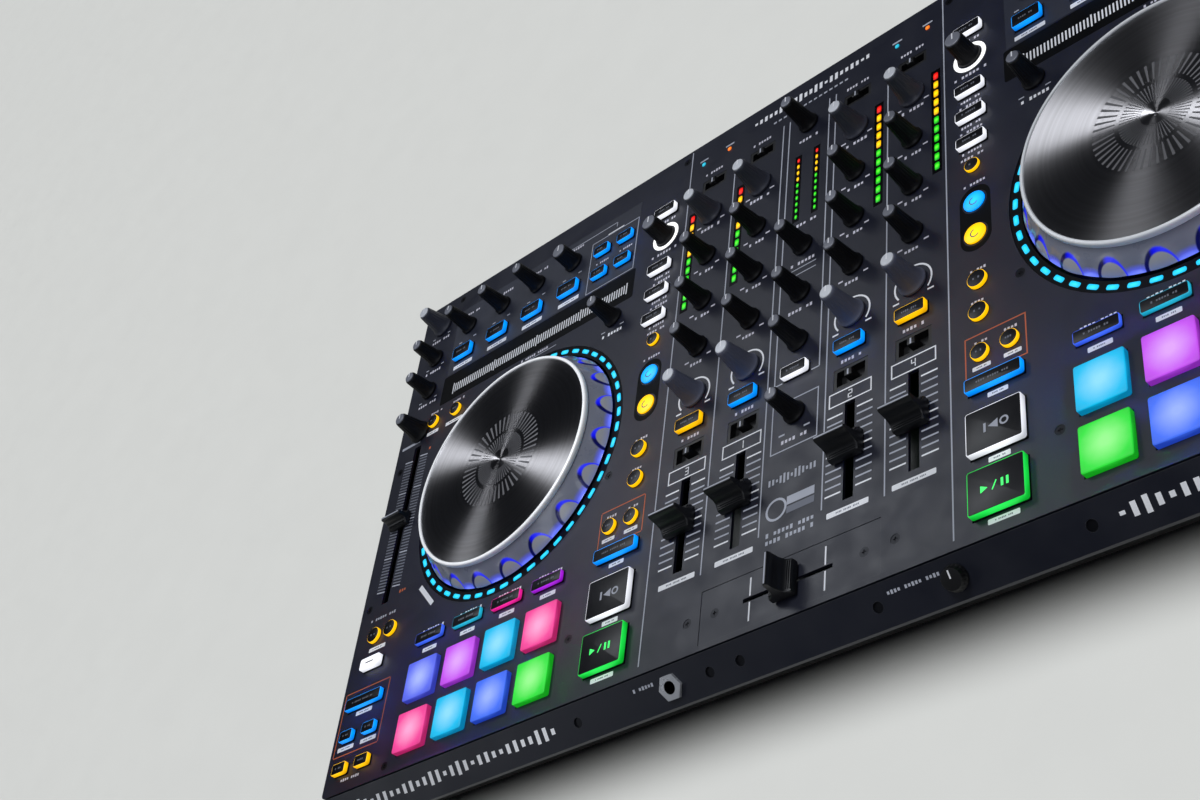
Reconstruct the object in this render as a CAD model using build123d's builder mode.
"""Four-channel DJ controller: two platter decks either side of a mixer, in one low case.

Frame: millimetres, +X to the player's right, +Y to the back, +Z up. The origin is on the
table, under the middle of the case. Places on the panel are given as x, from the middle
line, and d, the distance forward of the panel's back edge.
"""

import os

from build123d import *

os.makedirs("parts", exist_ok=True)

# ---- driving dimensions -------------------------------------------------------------
WIDTH = 728.0
DEPTH = 413.0
PANEL_TOP = 52.0
PANEL_THICK = 2.0
PANEL_DEPTH = 395.0
FOOT_HEIGHT = 5.0
CASE_WALL = 2.5
SIDE_OVERHANG = 2.0
PANEL_CORNER = 3.0
SCREW_RECESS = 1.4
DROP_IN_GAP = 0.1

BACK = DEPTH / 2
FOLD = BACK - PANEL_DEPTH
PANEL_UNDER = PANEL_TOP - PANEL_THICK
CASE_FLOOR = FOOT_HEIGHT + CASE_WALL
CASE_HALF = WIDTH / 2 - SIDE_OVERHANG

BOARD_BOTTOM = 26.0
BOARD_THICK = 1.6
BOARD_TOP = BOARD_BOTTOM + BOARD_THICK

# front rail: the sloped lip in front of the panel
RAIL_GAP = 1.0
RAIL_TOP_Y = FOLD - RAIL_GAP
RAIL_TOP_Z = PANEL_TOP - 0.4
RAIL_NOSE_Z = 38.3
RAIL_UNDER_Z = 36.4
RAIL_THICK = 3.0

# decks
PLATTER_X = 228.0
PLATTER_D = 205.0
PLATTER_RADIUS = 75.0
PLATTER_TOP = PANEL_TOP + 16.0
SKIRT_FOOT_RADIUS = 83.5
RING_INNER = 84.6
RING_OUTER = 91.6
SPINDLE_RADIUS = 4.0
RUNNING_GAP = 0.05
CROSSFADER_PLATE = (114.6, 32.2)

# mixer columns, left to right, as (channel number, x)
CHANNELS = ((3, -76.9), (1, -36.9), (2, 36.9), (4, 76.9))
METER_SHIFT = 16.2
GAIN_D = 71.5
HIGH_D = 108.0
MID_D = 145.0
LOW_D = 181.5
FILTER_D = 217.7
CHANNEL_CUE_D = 239.2
ASSIGN_SWITCH_D = 259.5
SOURCE_SWITCH_D = 43.0
FADER_D = 308.6
FADER_TRAVEL = 50.0
FADER_SLOT = 62.0
CROSSFADER_D = 375.5
CROSSFADER_TRAVEL = 45.0
CROSSFADER_SLOT = 57.0
PITCH_X = 342.0
PITCH_D = 198.0
PITCH_TRAVEL = 100.0
PITCH_SLOT = 128.0
FADER_SLOT_WIDTH = 6.6
CROSSFADER_SLOT_WIDTH = 2.6

# rear and front sockets
JACK_RADIUS = 3.25
JACK_DEPTH = 30.0
JACK_BODY = 6.0
JACK_HOLE = 6.2
CONTOUR_HOLE = 4.7
PHONES_X = -80.0
CONTOUR_X = 95.0

# buttons
HOLE_GAP = 0.35
POST_BOTTOM = 31.1
SWITCH_HEIGHT = 2.2
FLANGE_Z = (44.5, 48.0)
FLANGE_OVER = 0.9
POST_RADIUS = 1.8
SWITCH_SIZE = 6.0

# knobs
KNOB_HOLE = 3.6
KNOB_GAP = 0.6
POT_SIZE = 11.0
POT_HEIGHT = 9.0
BUSH_RADIUS = 4.4

# deck columns, for the left deck; the right deck mirrors them except in the effects row
TRANSPORT_X = 125.0
LOAD_X = 116.8
PAD_COLUMNS = (180.4, 214.9, 249.4, 283.9)
PAD_ROWS = (337.2, 371.8)
PAD_SIZE = 26.0
FX_COLUMNS = (-309.6, -274.4, -239.2, -204.0)
FX_RIGHT_SHIFT = 465.0


def y_at(d):
    """Frame y of a place d forward of the panel's back edge."""
    return BACK - d


def deck_buttons(side):
    """Small buttons of one deck as (x, d, width, depth, height); depth 0 means round."""
    shift = 0.0 if side < 0 else FX_RIGHT_SHIFT
    rows = [(x + shift, 65.0, 18.0, 10.0, 4.0) for x in FX_COLUMNS]
    rows += [(x + shift, d, 13.4, 7.4, 3.5) for x in (-175.0, -153.4) for d in (46.0, 67.0)]
    rows += [(side * LOAD_X, d, 18.0, 7.5, 4.0) for d in (46.0, 95.7, 116.7, 137.6)]
    rows += [(side * 116.0, 155.5, 9.0, 0.0, 2.0)]
    rows += [(side * 116.2, d, 13.0, 0.0, 1.2) for d in (182.6, 206.0)]
    rows += [(side * 117.0, d, 11.0, 0.0, 2.5) for d in (239.0, 260.5)]
    rows += [(side * x, 287.0, 10.0, 0.0, 2.5) for x in (117.0, 134.0)]
    rows += [(side * x, 307.0, 24.5, 7.6, 3.0) for x in PAD_COLUMNS]
    rows += [(side * x, 118.6, 9.6, 0.0, 2.5) for x in (305.5, 328.6)]
    rows += [(side * x, 286.0, 11.0, 0.0, 2.5) for x in (328.0, 344.0)]
    rows += [(side * 339.3, 308.0, 18.5, 8.0, 4.0)]
    rows += [(side * 338.6, 334.7, 34.0, 8.0, 3.5)]
    rows += [(side * x, 357.0, 12.0, 7.4, 3.5) for x in (327.0, 348.5)]
    rows += [(side * x, 379.5, 12.5, 7.6, 3.5) for x in (327.0, 348.5)]
    return rows


def transport_buttons(side):
    """Sync, cue and play of one deck, in the same form."""
    x = side * TRANSPORT_X
    return [(x, 307.4, 32.0, 8.2, 4.0), (x, 337.4, 31.0, 25.0, 4.5), (x, 371.8, 31.0, 25.0, 4.5)]


def pads(side):
    """The eight performance pads of one deck, in the same form."""
    return [(side * x, d, PAD_SIZE, PAD_SIZE, 3.5) for d in PAD_ROWS for x in PAD_COLUMNS]


MIXER_BUTTONS = [(x, CHANNEL_CUE_D, 19.0, 8.2, 4.0) for _, x in CHANNELS]
MIXER_BUTTONS += [(0.0, 239.4, 17.7, 7.6, 4.0)]

ALL_BUTTONS = list(MIXER_BUTTONS)
for deck in (-1, 1):
    ALL_BUTTONS += deck_buttons(deck) + transport_buttons(deck) + pads(deck)

# knobs as (x, d, height, kind); kind chooses the profile
KNOB_KINDS = {
    "rubber": (8.7, 6.6, 5.0),
    "slim": (7.0, 5.6, 4.7),
    "encoder": (7.4, 6.4, 5.8),
}
FIXED_KNOBS = [(0.0, 42.0, 23.0, "slim"), (0.0, 145.0, 22.0, "slim"), (0.0, 181.5, 22.0, "slim")]
FIXED_KNOBS += [(0.0, 217.7, 22.0, "slim"), (0.0, 268.0, 21.0, "slim")]
for deck in (-1, 1):
    fx_shift = 0.0 if deck < 0 else FX_RIGHT_SHIFT
    FIXED_KNOBS += [(x + fx_shift, 40.0, 22.0, "slim") for x in FX_COLUMNS[:3]]
    FIXED_KNOBS += [(FX_COLUMNS[3] + fx_shift, 40.0, 16.0, "encoder")]
    FIXED_KNOBS += [(deck * 156.0, 116.0, 21.0, "slim")]
    FIXED_KNOBS += [(deck * 342.6, d, 20.0, "slim") for d in (54.0, 84.0)]
    FIXED_KNOBS += [(deck * 342.6, 23.0, 20.0, "rubber"), (deck * 342.6, 121.5, 20.0, "rubber")]
BROWSE_KNOBS = {"left": (-116.3, 67.5, 17.0, "encoder"), "right": (116.3, 67.5, 17.0, "encoder")}
CHANNEL_ROWS = {
    "gain": (GAIN_D, 22.0, "rubber"),
    "high": (HIGH_D, 22.0, "slim"),
    "mid": (MID_D, 22.0, "slim"),
    "low": (LOW_D, 22.0, "slim"),
    "filter": (FILTER_D, 23.0, "rubber"),
}
ALL_KNOBS = FIXED_KNOBS + list(BROWSE_KNOBS.values())
ALL_KNOBS += [(x, d, h, kind) for _, x in CHANNELS for d, h, kind in CHANNEL_ROWS.values()]

# slide switches in dark wells: (x, d, well width, well depth)
SELECTORS = [(x, SOURCE_SWITCH_D, 20.0, 10.0) for _, x in CHANNELS]
SELECTORS += [(x, ASSIGN_SWITCH_D, 22.5, 14.0) for _, x in CHANNELS]

# screws through the panel into bosses of the case: (x, d)
PANEL_SCREWS = [(side * x, d) for side in (-1, 1) for x, d in
                ((157.0, 353.0), (66.0, 375.5), (141.0, 247.5), (103.5, 8.0), (357.0, 150.0),
                 (357.0, 262.0), (325.0, 6.0), (306.0, 388.5))]
PLATE_SCREWS = [(side * 47.5, CROSSFADER_D) for side in (-1, 1)]
RAIL_SCREWS = [(-330.0), (-148.0), (-54.0), (-34.0), (51.0), (165.0), (330.0)]
BOSS_RADIUS = 3.6
SCREW_HEAD = 2.9
SCREW_SHANK = 1.5

METERS = [(x + (-METER_SHIFT if x < 0 else METER_SHIFT), 103.5, 6.4, 84.0) for _, x in CHANNELS]
METERS += [(side * 7.0, 94.0, 5.0, 56.0) for side in (-1, 1)]
STRIPS = [(-234.0, 93.0, 182.0, 22.0), (-234.0 + FX_RIGHT_SHIFT, 93.0, 182.0, 22.0)]


def save(piece, name):
    """Label a finished piece and write it as one STEP."""
    piece.label = name
    export_step(piece, f"parts/{name}.step")


# ---- case ---------------------------------------------------------------------------
rail_run = (RAIL_TOP_Y + BACK, RAIL_TOP_Z - RAIL_NOSE_Z)

case_outer = [
    (FOLD + 4.5, FOOT_HEIGHT),
    (BACK - 6, FOOT_HEIGHT),
    (BACK, FOOT_HEIGHT + 6),
    (BACK, PANEL_UNDER),
    (FOLD, PANEL_UNDER),
    (RAIL_TOP_Y, RAIL_TOP_Z - RAIL_THICK),
    (-BACK + 1.5, RAIL_UNDER_Z),
    (RAIL_TOP_Y - 0.5, 12.0),
]
case_inner = [
    (FOLD + 6.5, CASE_FLOOR),
    (BACK - 7, CASE_FLOOR),
    (BACK - CASE_WALL, CASE_FLOOR + 4.5),
    (BACK - CASE_WALL, PANEL_UNDER + 1),
    (FOLD + 3, PANEL_UNDER + 1),
    (FOLD + 3, 45.5),
    (-BACK + 6, 35.0),
    (FOLD + 2, 13.5),
]
REAR_Z = 30.0
MIC_X = (-300.0, -270.0)
USB_X = (214.0, 240.0)
POWER_X = 312.0
RCA_X = [-210.0 + 22.0 * i for i in range(5)]
RCA_Z = (22.0, 40.0)
BOARD_BAYS = [(sum(MIC_X) / 2, 46.0, 32.0), (sum(USB_X) / 2, 46.0, 20.0), (POWER_X, 14.0, 16.0)]
BOARD_BAYS += [(sum(RCA_X) / 5, 102.0, 14.0)]

with BuildPart() as bottom_case:
    with BuildSketch(Plane.YZ.offset(-CASE_HALF)):
        with BuildLine():
            Polyline(*case_outer, close=True)
        make_face()
    extrude(amount=2 * CASE_HALF)
    with BuildSketch(Plane.YZ.offset(-CASE_HALF + CASE_WALL)):
        with BuildLine():
            Polyline(*case_inner, close=True)
        make_face()
    extrude(amount=2 * (CASE_HALF - CASE_WALL), mode=Mode.SUBTRACT)
    # bosses for the panel screws
    with BuildSketch(Plane.XY.offset(CASE_FLOOR - 0.5)):
        with Locations(*[(x, y_at(d)) for x, d in PANEL_SCREWS]):
            Circle(BOSS_RADIUS)
    extrude(amount=PANEL_UNDER - CASE_FLOOR + 0.5)
    # posts that carry the boards
    with BuildSketch(Plane.XY.offset(CASE_FLOOR - 0.5)):
        with Locations(*[(x, y) for x in (-330, -120, -60, 60, 120, 330) for y in (-120, 160)]):
            Circle(3)
    extrude(amount=BOARD_BOTTOM - CASE_FLOOR + 0.5)
    # screw holes
    with BuildSketch(Plane.XY.offset(PANEL_UNDER - 9)):
        with Locations(*[(x, y_at(d)) for x, d in PANEL_SCREWS]):
            Circle(SCREW_SHANK)
    extrude(amount=10, mode=Mode.SUBTRACT)
    # rear openings
    with BuildSketch(Plane.XZ.offset(-BACK + 4)):
        with Locations(*[(x, REAR_Z) for x in MIC_X]):
            Circle(JACK_HOLE)
        with Locations(*[(x, REAR_Z) for x in USB_X]):
            Rectangle(15, 14)
        with Locations((POWER_X, REAR_Z)):
            Circle(5.2)
        with Locations(*[(x, z) for x in RCA_X for z in RCA_Z]):
            Circle(4.6)
    extrude(amount=-8, mode=Mode.SUBTRACT)
    # mouth for the headphone socket and the contour knob's bush
    rail_mid = Plane(
        origin=(0, (RAIL_TOP_Y - BACK) / 2, (RAIL_TOP_Z + RAIL_NOSE_Z) / 2),
        x_dir=(1, 0, 0),
        z_dir=(0, -rail_run[1], rail_run[0]),
    )
    with BuildSketch(rail_mid.offset(1)):
        with Locations((PHONES_X, 0)):
            Circle(JACK_HOLE)
        with Locations((CONTOUR_X, 0)):
            Circle(CONTOUR_HOLE)
    extrude(amount=-14, mode=Mode.SUBTRACT)
save(bottom_case.part, "bottom_case")

# ---- top panel ----------------------------------------------------------------------
with BuildPart() as top_panel:
    with BuildSketch(Plane.XY.offset(PANEL_UNDER)):
        with Locations((0, BACK - PANEL_DEPTH / 2)):
            RectangleRounded(WIDTH, PANEL_DEPTH, PANEL_CORNER)
    extrude(amount=PANEL_THICK)
    with BuildSketch(Plane.XY.offset(PANEL_UNDER)):
        for side in (-1, 1):
            with Locations((side * PLATTER_X, y_at(PLATTER_D))):
                Circle(RING_OUTER + DROP_IN_GAP)
            with Locations((side * PITCH_X, y_at(PITCH_D))):
                Rectangle(FADER_SLOT_WIDTH, PITCH_SLOT)
        for x, d, width, depth, _ in ALL_BUTTONS:
            with Locations((x, y_at(d))):
                if depth == 0:
                    Circle(width / 2 + HOLE_GAP)
                else:
                    Rectangle(width + 2 * HOLE_GAP, depth + 2 * HOLE_GAP)
        for x, d, _, _ in ALL_KNOBS:
            with Locations((x, y_at(d))):
                Circle(KNOB_HOLE)
        for _, x in CHANNELS:
            with Locations((x, y_at(FADER_D))):
                Rectangle(FADER_SLOT_WIDTH, FADER_SLOT)
        with Locations((0, y_at(CROSSFADER_D))):
            Rectangle(*[side + 2 * DROP_IN_GAP for side in CROSSFADER_PLATE])
        for x, d, width, depth in SELECTORS:
            with Locations((x, y_at(d))):
                Rectangle(width, depth)
        for x, d, width, depth in METERS + STRIPS:
            with Locations((x, y_at(d))):
                Rectangle(width + 2 * DROP_IN_GAP, depth + 2 * DROP_IN_GAP)
    extrude(amount=PANEL_THICK, mode=Mode.SUBTRACT)
    with BuildSketch(Plane.XY.offset(PANEL_UNDER)):
        with Locations(*[(x, y_at(d)) for x, d in PANEL_SCREWS]):
            Circle(SCREW_SHANK + 0.2)
    extrude(amount=PANEL_THICK, mode=Mode.SUBTRACT)
    with BuildSketch(Plane.XY.offset(PANEL_TOP - SCREW_RECESS)):
        with Locations(*[(x, y_at(d)) for x, d in PANEL_SCREWS]):
            Circle(SCREW_HEAD)
    extrude(amount=SCREW_RECESS, mode=Mode.SUBTRACT)
save(top_panel.part, "top_panel")

# ---- front rail ---------------------------------------------------------------------
rail_outline = [
    (RAIL_TOP_Y, RAIL_TOP_Z),
    (-BACK, RAIL_NOSE_Z),
    (-BACK, RAIL_UNDER_Z),
    (-BACK + 1.5, RAIL_UNDER_Z),
    (RAIL_TOP_Y, RAIL_TOP_Z - RAIL_THICK),
]
with BuildPart() as front_rail:
    with BuildSketch(Plane.YZ.offset(-WIDTH / 2)):
        with BuildLine():
            Polyline(*rail_outline, close=True)
        make_face()
    extrude(amount=WIDTH)
    with BuildSketch(rail_mid.offset(4)):
        with Locations((PHONES_X, 0)):
            Circle(JACK_HOLE)
        with Locations((CONTOUR_X, 0)):
            Circle(CONTOUR_HOLE)
        with Locations(*[(x, 0) for x in RAIL_SCREWS]):
            Circle(SCREW_HEAD)
    extrude(amount=-10, mode=Mode.SUBTRACT)
save(front_rail.part, "front_rail")

# ---- feet ---------------------------------------------------------------------------
with BuildPart() as rubber_feet:
    with BuildSketch():
        with Locations(*[(x, y) for x in (-320, 0, 320) for y in (-150, 165)]):
            Circle(11)
    extrude(amount=FOOT_HEIGHT)
    chamfer(rubber_feet.faces().sort_by(Axis.Z)[:6].edges(), 1)
save(rubber_feet.part, "rubber_feet")

# ---- screws -------------------------------------------------------------------------
with BuildPart() as case_screws:
    with BuildSketch(Plane.XY.offset(PANEL_TOP - SCREW_RECESS)):
        with Locations(*[(x, y_at(d)) for x, d in PANEL_SCREWS]):
            Circle(SCREW_HEAD)
    extrude(amount=SCREW_RECESS - 0.2)
    with BuildSketch(Plane.XY.offset(PANEL_UNDER - 8)):
        with Locations(*[(x, y_at(d)) for x, d in PANEL_SCREWS]):
            Circle(SCREW_SHANK)
    extrude(amount=9)
    with BuildSketch(Plane.XY.offset(PANEL_TOP - 0.6)):
        with Locations(*[(x, y_at(d)) for x, d in PANEL_SCREWS]):
            Rectangle(2.6, 0.7)
            Rectangle(0.7, 2.6)
    extrude(amount=1, mode=Mode.SUBTRACT)
    # the two screws of the crossfader plate
    with BuildSketch(Plane.XY.offset(PANEL_TOP - 1.3)):
        with Locations(*[(x, y_at(d)) for x, d in PLATE_SCREWS]):
            Circle(SCREW_HEAD)
    extrude(amount=1)
    with BuildSketch(Plane.XY.offset(PANEL_TOP - 0.8)):
        with Locations(*[(x, y_at(d)) for x, d in PLATE_SCREWS]):
            Rectangle(2.6, 0.7)
            Rectangle(0.7, 2.6)
    extrude(amount=1, mode=Mode.SUBTRACT)
    # rail screws, sunk in the sloped face
    with BuildSketch(rail_mid.offset(-RAIL_THICK + 0.7)):
        with Locations(*[(x, 0) for x in RAIL_SCREWS]):
            Circle(SCREW_HEAD)
    extrude(amount=1.4)
save(case_screws.part, "case_screws")

# ---- circuit boards -----------------------------------------------------------------
BOARD_BACK = BACK - 12
BOARD_FRONT = FOLD + 9
board_y = (BOARD_BACK + BOARD_FRONT) / 2
board_depth = BOARD_BACK - BOARD_FRONT
with BuildPart() as circuit_boards:
    with BuildSketch(Plane.XY.offset(BOARD_BOTTOM)):
        with Locations((0, board_y)):
            Rectangle(196, board_depth)
        with Locations((-229.5, board_y), (229.5, board_y)):
            Rectangle(257, board_depth)
        with Locations((-PLATTER_X, y_at(PLATTER_D)), (PLATTER_X, y_at(PLATTER_D))):
            Circle(24, mode=Mode.SUBTRACT)
        with Locations(*[(x, y_at(d)) for x, d in PANEL_SCREWS]):
            Circle(BOSS_RADIUS + 1, mode=Mode.SUBTRACT)
        # bays for the rear sockets, as (middle x, width, depth from the case's back)
        for x, width, depth in BOARD_BAYS:
            with Locations((x, BACK - depth / 2)):
                Rectangle(width, depth, mode=Mode.SUBTRACT)
    extrude(amount=BOARD_THICK)
save(circuit_boards.part, "circuit_boards")

# ---- pots and encoders --------------------------------------------------------------
knob_places = [(x, y_at(d)) for x, d, _, _ in ALL_KNOBS]
POT_BODY_TOP = BOARD_TOP + POT_HEIGHT
BUSH_TOP = PANEL_UNDER - 0.2
SHAFT_RADIUS = 3.0
SHAFT_BOTTOM = 34.0
with BuildPart() as pot_bodies:
    with BuildSketch(Plane.XY.offset(BOARD_TOP)):
        with Locations(*knob_places):
            Rectangle(POT_SIZE, POT_SIZE)
    extrude(amount=POT_BODY_TOP - BOARD_TOP)
    with BuildSketch(Plane.XY.offset(POT_BODY_TOP)):
        with Locations(*knob_places):
            Circle(BUSH_RADIUS)
    extrude(amount=BUSH_TOP - POT_BODY_TOP)
    with BuildSketch(Plane.XY.offset(SHAFT_BOTTOM - 0.5)):
        with Locations(*knob_places):
            Circle(SHAFT_RADIUS + RUNNING_GAP)
    extrude(amount=BUSH_TOP - SHAFT_BOTTOM + 0.5, mode=Mode.SUBTRACT)
save(pot_bodies.part, "pot_bodies")

# ---- switches under the buttons -----------------------------------------------------
with BuildPart() as button_switches:
    with BuildSketch(Plane.XY.offset(BOARD_TOP)):
        with Locations(*[(x, y_at(d)) for x, d, _, _, _ in ALL_BUTTONS]):
            Rectangle(SWITCH_SIZE, SWITCH_SIZE)
    extrude(amount=SWITCH_HEIGHT)
save(button_switches.part, "button_switches")


# ---- knobs --------------------------------------------------------------------------
def knob(x, d, height, kind):
    """A knob with its shaft: a base flange, a waisted grip and a flat top with a notch."""
    flange, waist, top = KNOB_KINDS[kind]
    foot = PANEL_TOP + KNOB_GAP
    tip = PANEL_TOP + height
    profile = [
        (0, SHAFT_BOTTOM),
        (SHAFT_RADIUS, SHAFT_BOTTOM),
        (SHAFT_RADIUS, foot),
        (flange, foot),
        (flange, foot + 1.6),
        (waist + 0.6, foot + 3.4),
        (waist, foot + 5),
        (top, tip - 0.8),
        (top - 0.8, tip),
        (0, tip),
    ]
    with BuildPart() as piece:
        with BuildSketch(Plane.XZ):
            with BuildLine():
                Polyline(*profile, close=True)
            make_face()
        revolve(axis=Axis.Z)
        with BuildSketch(Plane.XY.offset(tip - 0.5)):
            with Locations((0, top * 0.55)):
                Rectangle(0.9, top)
        extrude(amount=1, mode=Mode.SUBTRACT)
    return Pos(x, y_at(d), 0) * piece.part


for number, x in CHANNELS:
    for row, (d, height, kind) in CHANNEL_ROWS.items():
        save(knob(x, d, height, kind), f"channel_{number}_{row}_knob")
for side_name, (x, d, height, kind) in BROWSE_KNOBS.items():
    save(knob(x, d, height, kind), f"browse_knob_{side_name}")

contour_axis = rail_mid.shift_origin(rail_mid.from_local_coords((CONTOUR_X, 0, 0)))
with BuildPart() as contour_knob:
    with BuildSketch(contour_axis.offset(-9)):
        Circle(SHAFT_RADIUS)
    extrude(amount=10)
    with BuildSketch(contour_axis.offset(KNOB_GAP)):
        Circle(6.6)
    extrude(amount=5, taper=6)
fixed_knobs = [knob(*values) for values in FIXED_KNOBS]
save(Compound(children=fixed_knobs + [contour_knob.part]), "deck_and_master_knobs")


# ---- faders -------------------------------------------------------------------------
FADER_CAN_WIDTH = 13.0
FADER_CAN_END = 11.0
LEVER = (1.4, 4.6)
LEVER_TRACK = 2.4
LEVER_END_PLAY = 4.0


def fader_unit(x, d, travel, along_y=True):
    """The sliding potentiometer under a slot: a long can, open along the lever's slot."""
    length = travel + 2 * FADER_CAN_END
    run = travel + 2 * LEVER_END_PLAY
    size = (FADER_CAN_WIDTH, length) if along_y else (length, FADER_CAN_WIDTH)
    slot = (LEVER_TRACK, run) if along_y else (run, LEVER_TRACK)
    with BuildPart() as piece:
        with BuildSketch(Plane.XY.offset(BOARD_TOP)):
            Rectangle(*size)
        extrude(amount=9)
        with BuildSketch(Plane.XY.offset(BOARD_TOP + 2)):
            Rectangle(*slot)
        extrude(amount=8, mode=Mode.SUBTRACT)
    return Pos(x, y_at(d), 0) * piece.part


def fader_cap(x, d, along_y=True, width=19.5, length=15.0, height=17.0):
    """A fader cap with its lever: scooped flanks up to a narrow ridge across the travel."""
    base = PANEL_TOP + 1.0
    top = PANEL_TOP + height
    half = length / 2
    with BuildPart() as piece:
        with BuildSketch(Plane.YZ.offset(-width / 2)):
            with BuildLine():
                Line((-half, base), (half, base))
                Line((half, base), (half, base + 3.2))
                ThreePointArc((half, base + 3.2), (half * 0.36, base + 6.4), (1.7, top - 0.8))
                Line((1.7, top - 0.8), (0.9, top))
                Line((0.9, top), (-0.9, top))
                Line((-0.9, top), (-1.7, top - 0.8))
                ThreePointArc((-1.7, top - 0.8), (-half * 0.36, base + 6.4), (-half, base + 3.2))
                Line((-half, base + 3.2), (-half, base))
            make_face()
        extrude(amount=width)
        with BuildSketch(Plane.XY.offset(BOARD_TOP + 3)):
            Rectangle(*LEVER)
        extrude(amount=base - BOARD_TOP - 2)
    turn = 0 if along_y else 90
    return Pos(x, y_at(d), 0) * Rot(0, 0, turn) * piece.part


save(Compound(children=[fader_unit(x, FADER_D, FADER_TRAVEL) for _, x in CHANNELS]),
     "channel_fader_units")
for number, x in CHANNELS:
    save(fader_cap(x, FADER_D), f"channel_fader_cap_{number}")
save(fader_unit(0, CROSSFADER_D, CROSSFADER_TRAVEL, along_y=False), "crossfader_unit")
save(fader_cap(0, CROSSFADER_D, along_y=False), "crossfader_cap")
save(Compound(children=[fader_unit(side * PITCH_X, PITCH_D, PITCH_TRAVEL) for side in (-1, 1)]),
     "pitch_fader_units")
for side, side_name in ((-1, "left"), (1, "right")):
    cap = fader_cap(side * PITCH_X, PITCH_D, width=18.0, length=11.0, height=11.0)
    save(cap, f"pitch_fader_cap_{side_name}")

# crossfader plate, let into the panel
with BuildPart() as crossfader_plate:
    with BuildSketch(Plane.XY.offset(PANEL_UNDER)):
        with Locations((0, y_at(CROSSFADER_D))):
            RectangleRounded(*CROSSFADER_PLATE, 1)
            Rectangle(CROSSFADER_SLOT, CROSSFADER_SLOT_WIDTH, mode=Mode.SUBTRACT)
    extrude(amount=PANEL_THICK - 0.3)
    with BuildSketch(Plane.XY.offset(PANEL_TOP - 1.3)):
        with Locations(*[(x, y_at(d)) for x, d in PLATE_SCREWS]):
            Circle(SCREW_HEAD)
    extrude(amount=2, mode=Mode.SUBTRACT)
save(crossfader_plate.part, "crossfader_plate")

# ---- slide switches -----------------------------------------------------------------
with BuildPart() as selector_wells:
    for x, d, width, depth in SELECTORS:
        with BuildSketch(Plane.XY.offset(PANEL_UNDER - 4)):
            with Locations((x, y_at(d))):
                Rectangle(width - 2 * DROP_IN_GAP, depth - 2 * DROP_IN_GAP)
        extrude(amount=4 + PANEL_THICK - 0.2)
        with BuildSketch(Plane.XY.offset(PANEL_UNDER - 2.5)):
            with Locations((x, y_at(d))):
                Rectangle(width - 4, depth - 4)
        extrude(amount=6, mode=Mode.SUBTRACT)
save(selector_wells.part, "selector_wells")

with BuildPart() as selector_levers:
    with BuildSketch(Plane.XY.offset(PANEL_UNDER - 2.2)):
        with Locations(*[(x, y_at(d)) for x, d, _, _ in SELECTORS]):
            Rectangle(5, 4.6)
    extrude(amount=PANEL_THICK + 2.2 + 2.5)
    chamfer(selector_levers.faces().sort_by(Axis.Z)[-len(SELECTORS):].edges(), 0.6)
save(selector_levers.part, "selector_levers")


# ---- buttons ------------------------------------------------------------------------
def button_group(rows):
    """Buttons through the panel, each with a flange under it and a post to its switch."""
    pieces = []
    for x, d, width, depth, height in rows:
        with BuildPart() as piece:
            with BuildSketch(Plane.XY.offset(FLANGE_Z[0])):
                if depth == 0:
                    Circle(width / 2 + FLANGE_OVER)
                else:
                    Rectangle(width + 2 * FLANGE_OVER, depth + 2 * FLANGE_OVER)
            extrude(amount=FLANGE_Z[1] - FLANGE_Z[0])
            with BuildSketch(Plane.XY.offset(FLANGE_Z[1])):
                if depth == 0:
                    Circle(width / 2)
                else:
                    Rectangle(width, depth)
            extrude(amount=PANEL_TOP + height - FLANGE_Z[1])
            chamfer(piece.faces().sort_by(Axis.Z)[-1].edges(), 0.5)
            with BuildSketch(Plane.XY.offset(POST_BOTTOM)):
                Circle(POST_RADIUS)
            extrude(amount=FLANGE_Z[0] - POST_BOTTOM)
        pieces.append(Pos(x, y_at(d), 0) * piece.part)
    return Compound(children=pieces)


for side, side_name in ((-1, "left"), (1, "right")):
    save(button_group(deck_buttons(side)), f"deck_buttons_{side_name}")
    save(button_group(transport_buttons(side)), f"transport_buttons_{side_name}")
    save(button_group(pads(side)), f"performance_pads_{side_name}")
save(button_group(MIXER_BUTTONS), "mixer_buttons")

# ---- platters -----------------------------------------------------------------------
DISC_THICK = 4.0
SPINDLE_BOTTOM = 14.0
HUB_BOTTOM = 50.5
platter_profile = [
    (0, SPINDLE_BOTTOM),
    (SPINDLE_RADIUS, SPINDLE_BOTTOM),
    (SPINDLE_RADIUS, HUB_BOTTOM),
    (14, HUB_BOTTOM),
    (14, PLATTER_TOP - DISC_THICK - 0.6),
    (71, PLATTER_TOP - DISC_THICK - 0.6),
    (73, PLATTER_TOP - DISC_THICK),
    (PLATTER_RADIUS, PLATTER_TOP - DISC_THICK),
    (PLATTER_RADIUS, PLATTER_TOP - 0.8),
    (PLATTER_RADIUS - 0.8, PLATTER_TOP),
    (PLATTER_RADIUS - 3.2, PLATTER_TOP),
    (PLATTER_RADIUS - 4.0, PLATTER_TOP - 0.8),
    (0, PLATTER_TOP - 0.8),
]
skirt_profile = [
    (73.2, PLATTER_TOP - DISC_THICK),
    (PLATTER_RADIUS - 0.4, PLATTER_TOP - DISC_THICK),
    (78.5, PANEL_TOP + 6.0),
    (SKIRT_FOOT_RADIUS, PANEL_TOP + 0.6),
    (SKIRT_FOOT_RADIUS, PANEL_TOP - 0.6),
    (SKIRT_FOOT_RADIUS - 2.4, PANEL_TOP - 0.6),
    (76.0, PANEL_TOP + 5.4),
    (73.2, PANEL_TOP + 9.0),
]
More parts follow.
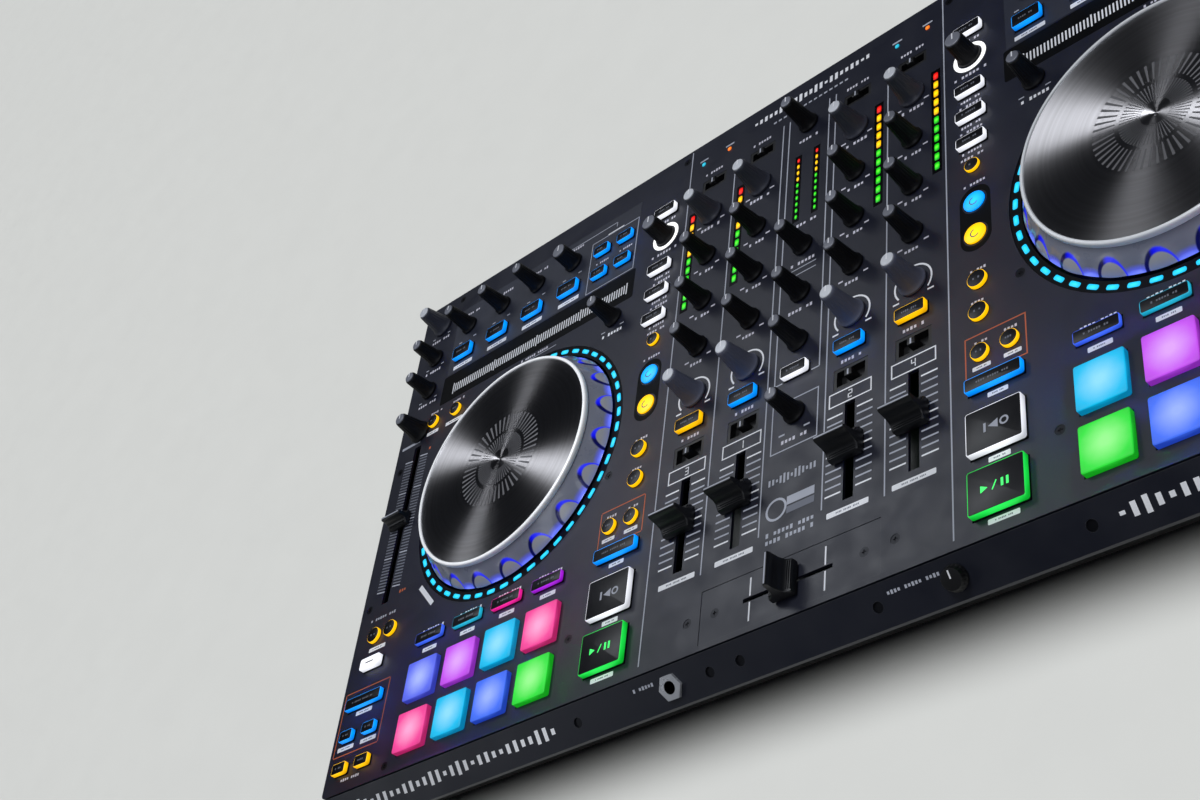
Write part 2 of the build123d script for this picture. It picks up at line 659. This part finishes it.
bearing_profile = [
    (SPINDLE_RADIUS + RUNNING_GAP, SPINDLE_BOTTOM - 1),
    (SPINDLE_RADIUS + RUNNING_GAP, 46.0),
    (9, 46.0),
    (9, 20.0),
    (20, 14.0),
    (20, CASE_FLOOR),
    (0, CASE_FLOOR),
    (0, SPINDLE_BOTTOM - 1),
]
ring_profile = [
    (RING_INNER, PANEL_UNDER - 2.5),
    (RING_OUTER, PANEL_UNDER - 2.5),
    (RING_OUTER, PANEL_TOP - 0.5),
    (RING_INNER, PANEL_TOP - 0.5),
]


def turned(profile):
    """A solid of revolution about Z from an (r, z) outline."""
    with BuildPart() as piece:
        with BuildSketch(Plane.XZ):
            with BuildLine():
                Polyline(*profile, close=True)
            make_face()
        revolve(axis=Axis.Z)
    return piece.part


platter_places = [Pos(side * PLATTER_X, y_at(PLATTER_D), 0) for side in (-1, 1)]
for place, side_name in zip(platter_places, ("left", "right")):
    save(place * turned(platter_profile), f"platter_disc_{side_name}")
    save(place * turned(skirt_profile), f"platter_skirt_{side_name}")
save(Compound(children=[place * turned(bearing_profile) for place in platter_places]),
     "platter_bearings")
save(Compound(children=[place * turned(ring_profile) for place in platter_places]),
     "ring_light_guides")

# ---- lenses -------------------------------------------------------------------------
with BuildPart() as display_lenses:
    with BuildSketch(Plane.XY.offset(PANEL_UNDER)):
        for x, d, width, depth in METERS:
            with Locations((x, y_at(d))):
                Rectangle(width, depth)
        for x, d, width, depth in STRIPS:
            with Locations((x, y_at(d))):
                Rectangle(width, depth)
    extrude(amount=PANEL_THICK - 0.1)
save(display_lenses.part, "display_lenses")

# ---- sockets ------------------------------------------------------------------------
phones_axis = rail_mid.shift_origin(rail_mid.from_local_coords((PHONES_X, 0, 0)))
with BuildPart() as headphone_socket:
    with BuildSketch(phones_axis.offset(-11)):
        Circle(JACK_BODY)
    extrude(amount=13)
    with BuildSketch(phones_axis.offset(0.2)):
        RegularPolygon(7.4, 6)
    extrude(amount=1.8)
    with BuildSketch(phones_axis.offset(-10)):
        Circle(JACK_RADIUS)
    extrude(amount=14, mode=Mode.SUBTRACT)
save(headphone_socket.part, "headphone_socket")

with BuildPart() as rear_sockets:
    # microphone jacks
    with BuildSketch(Plane.XZ.offset(-BACK + JACK_DEPTH)):
        with Locations(*[(x, REAR_Z) for x in MIC_X]):
            Circle(JACK_BODY)
    extrude(amount=-JACK_DEPTH)
    with BuildSketch(Plane.XZ.offset(-BACK + JACK_DEPTH - 2)):
        with Locations(*[(x, REAR_Z) for x in MIC_X]):
            Circle(JACK_RADIUS)
    extrude(amount=-JACK_DEPTH + 2, mode=Mode.SUBTRACT)
    # computer sockets
    with BuildSketch(Plane.XZ.offset(-BACK + 18)):
        with Locations(*[(x, REAR_Z) for x in USB_X]):
            Rectangle(14.6, 13.6)
    extrude(amount=-18)
    with BuildSketch(Plane.XZ.offset(-BACK + 12)):
        with Locations(*[(x, REAR_Z) for x in USB_X]):
            Rectangle(12, 11)
    extrude(amount=-12, mode=Mode.SUBTRACT)
    with BuildSketch(Plane.XZ.offset(-BACK + 13)):
        with Locations(*[(x, REAR_Z) for x in USB_X]):
            Rectangle(5.6, 3.2)
    extrude(amount=-8.4)
    # power inlet
    with BuildSketch(Plane.XZ.offset(-BACK + 14)):
        with Locations((POWER_X, REAR_Z)):
            Circle(5.0)
    extrude(amount=-14)
    with BuildSketch(Plane.XZ.offset(-BACK + 12)):
        with Locations((POWER_X, REAR_Z)):
            Circle(2.9)
    extrude(amount=-12, mode=Mode.SUBTRACT)
    # phono sockets
    with BuildSketch(Plane.XZ.offset(-BACK + 12)):
        with Locations(*[(x, z) for x in RCA_X for z in RCA_Z]):
            Circle(4.4)
    extrude(amount=-12)
    with BuildSketch(Plane.XZ.offset(-BACK + 9)):
        with Locations(*[(x, z) for x in RCA_X for z in RCA_Z]):
            Circle(1.6)
    extrude(amount=-9, mode=Mode.SUBTRACT)
save(rear_sockets.part, "rear_sockets")
